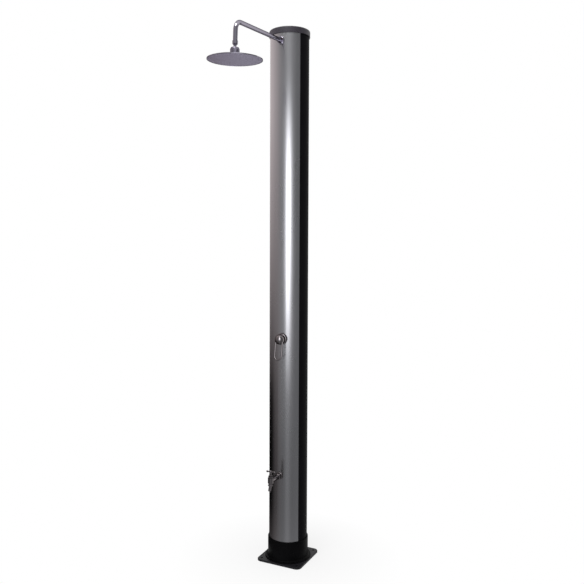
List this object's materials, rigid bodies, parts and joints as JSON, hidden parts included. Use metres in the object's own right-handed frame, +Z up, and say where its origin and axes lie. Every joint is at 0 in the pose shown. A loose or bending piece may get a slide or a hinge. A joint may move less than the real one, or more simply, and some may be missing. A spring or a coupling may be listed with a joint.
{
  "type": "outdoor shower post",
  "caption": "Outdoor shower post: black tank column with an aluminium front panel, rain head on a chromed arm, single-lever mixer and foot-wash tap on a bolted foot.",
  "frame": {"origin": "On the ground, under the foot plate, on the column's axis.", "axes": "+Z is up along the column. -Y is the front, where the arm and the taps stand out. +X is at the right seen from the front."},
  "size_m": [0.2064, 0.6552, 2.256],
  "materials": {
    "black_steel": "satin",
    "black_plastic": "satin",
    "column_plastic": "satin",
    "cap_plastic": "satin",
    "satin_aluminium": "satin anodised",
    "chrome": "polished",
    "brass": "plain",
    "stainless": "brushed",
    "seal_rubber": "matte",
    "pipe_plastic": "satin",
    "ceramic_plastic": "matte",
    "white_plastic": "satin",
    "nozzle_rubber": "matte"
  },
  "bodies": {
    "post": {"base_plate": "black_steel", "base_collar": "black_plastic", "collar_screws": "stainless", "tank_column": "column_plastic", "front_panel": "satin_aluminium", "bottom_plug": "black_plastic", "bottom_seal": "seal_rubber", "top_plug": "black_plastic", "top_seal": "seal_rubber", "top_cap": "cap_plastic", "inlet_fitting": "brass", "cold_pipe": "pipe_plastic", "mixer_feed_pipe": "pipe_plastic", "riser_pipe": "pipe_plastic", "hot_pipe": "pipe_plastic", "pipe_tee": "brass", "arm_elbow": "brass", "arm_rosette": "chrome", "arm_nut": "chrome", "shower_arm": "chrome", "arm_end_nut": "chrome", "ball_stem": "chrome", "mixer_body": "brass", "mixer_cartridge": "ceramic_plastic", "cartridge_nut": "brass", "mixer_escutcheon": "chrome", "tap_rosette": "chrome", "tap_body": "chrome", "outlet_ring_nut": "chrome", "hose_tail": "chrome", "tap_bonnet": "chrome"},
    "mixer_turn": {"mixer_stalk": "chrome", "lever_pin": "stainless"},
    "lever": {"lever_handle": "chrome", "index_plug": "chrome"},
    "head_turn": {"ball_seat": "white_plastic"},
    "head": {"swivel_nut": "chrome", "head_shell": "chrome", "head_face": "chrome", "nozzle_sheet": "nozzle_rubber"},
    "tap_turn": {"tap_spindle": "brass", "tap_handle": "chrome", "handle_screw": "chrome"}
  },
  "joints": [
    {"name": "mixer_turn", "type": "hinge", "parent": "post", "child": "mixer_turn", "pos_m": [0.01134, -0.10791, 0.966], "axis": [0.1045, -0.9945, 0], "range_deg": [-45, 45]},
    {"name": "mixer_lift", "type": "hinge", "parent": "mixer_turn", "child": "lever", "pos_m": [0.01134, -0.10791, 0.966], "axis": [-0.9945, -0.1045, 0], "range_deg": [0, 25]},
    {"name": "head_turn", "type": "hinge", "parent": "post", "child": "head_turn", "pos_m": [0, -0.45055, 2.06675], "axis": [0, 0.0619, 0.9981], "range_deg": [-180, 180]},
    {"name": "head_tilt", "type": "hinge", "parent": "head_turn", "child": "head", "pos_m": [0, -0.45055, 2.06675], "axis": [0.9997, 0, -0.0262], "range_deg": [-15, 15]},
    {"name": "tap_turn", "type": "hinge", "parent": "post", "child": "tap_turn", "pos_m": [0, -0.163, 0.382], "axis": [0, 0, 1], "range_deg": [0, 90]}
  ]
}
